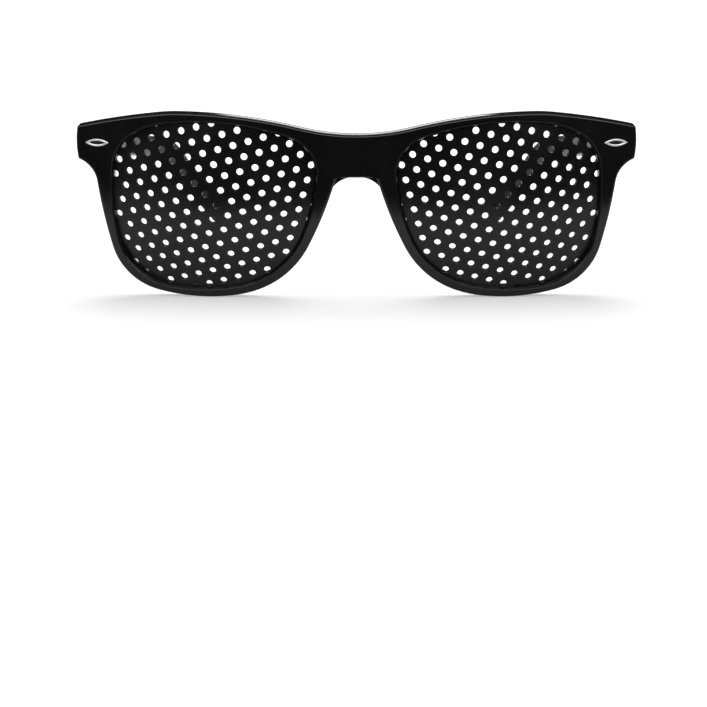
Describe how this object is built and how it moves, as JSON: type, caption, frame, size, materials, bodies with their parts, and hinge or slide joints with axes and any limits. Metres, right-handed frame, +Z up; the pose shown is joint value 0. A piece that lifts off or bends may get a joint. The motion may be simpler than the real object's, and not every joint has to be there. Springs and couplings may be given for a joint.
{
  "type": "pinhole glasses",
  "caption": "Black folding glasses whose lenses are curved opaque sheets pierced with rows of small round holes, worn as an optical aid.",
  "frame": {"origin": "on the table under the middle of the open glasses, at the height of the lens rims' lowest points and the temple tips", "axes": "+X towards the wearer's left, +Z up, the front faces -Y and the temples run back towards +Y"},
  "size_m": [0.1456, 0.1391, 0.0496],
  "materials": {
    "frame_plastic": "glossy black moulded plastic",
    "lens_plastic": "black opaque plastic sheet with a softer gloss",
    "hinge_steel": "plain stamped steel",
    "plaque_chrome": "bright plated metal with a dark dished middle"
  },
  "bodies": {
    "front": {"front_frame": "frame_plastic", "lens_left": "lens_plastic", "lens_right": "lens_plastic", "front_hinge_leaf_left": "hinge_steel", "front_hinge_leaf_right": "hinge_steel", "hinge_screw_left": "hinge_steel", "hinge_screw_right": "hinge_steel", "front_plaque_left": "plaque_chrome", "front_plaque_right": "plaque_chrome"},
    "left_temple": {"temple_left": "frame_plastic", "temple_hinge_leaf_left": "hinge_steel"},
    "right_temple": {"temple_right": "frame_plastic", "temple_hinge_leaf_right": "hinge_steel"}
  },
  "joints": [
    {"name": "left_temple_fold", "type": "hinge", "parent": "front", "child": "left_temple", "pos_m": [0.06616, -0.05707, 0.04074], "axis": [0, -0.1219, 0.9925], "range_deg": [0, 85]},
    {"name": "right_temple_fold", "type": "hinge", "parent": "front", "child": "right_temple", "pos_m": [-0.06616, -0.05707, 0.04074], "axis": [0, 0.1219, -0.9925], "range_deg": [0, 77]}
  ]
}
